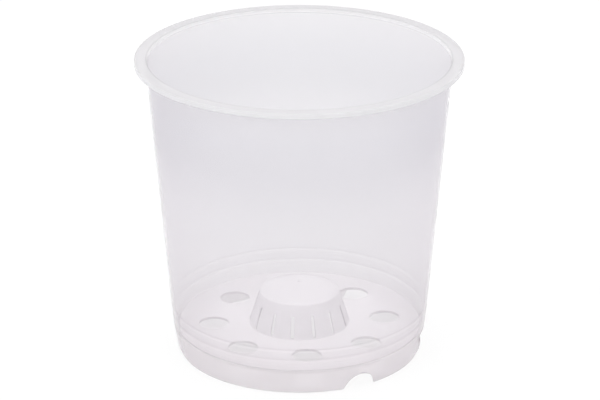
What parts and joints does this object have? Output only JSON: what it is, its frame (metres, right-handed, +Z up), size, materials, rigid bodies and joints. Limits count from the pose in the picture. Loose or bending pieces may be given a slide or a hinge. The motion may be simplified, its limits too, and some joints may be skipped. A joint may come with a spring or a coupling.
{
  "type": "orchid pot",
  "caption": "Clear round orchid pot with a raised drain floor, a slotted hollow cone, foot arches and a low side slot.",
  "frame": {"origin": "centre of the foot's underside, on the ground", "axes": "+Z up along the pot's axis, -Y towards the pictured side, +X to the picture's right, where the low side slot is"},
  "size_m": [0.15, 0.15, 0.1417],
  "materials": {
    "clear_plastic": "clear, glossy, moulded polypropylene"
  },
  "bodies": {
    "root": {"rim_flange": "clear_plastic", "rim_lip": "clear_plastic", "upper_wall": "clear_plastic", "ledge_band": "clear_plastic", "foot_skirt": "clear_plastic", "drain_floor": "clear_plastic", "cone_wall": "clear_plastic", "cone_cap": "clear_plastic"}
  },
  "joints": []
}
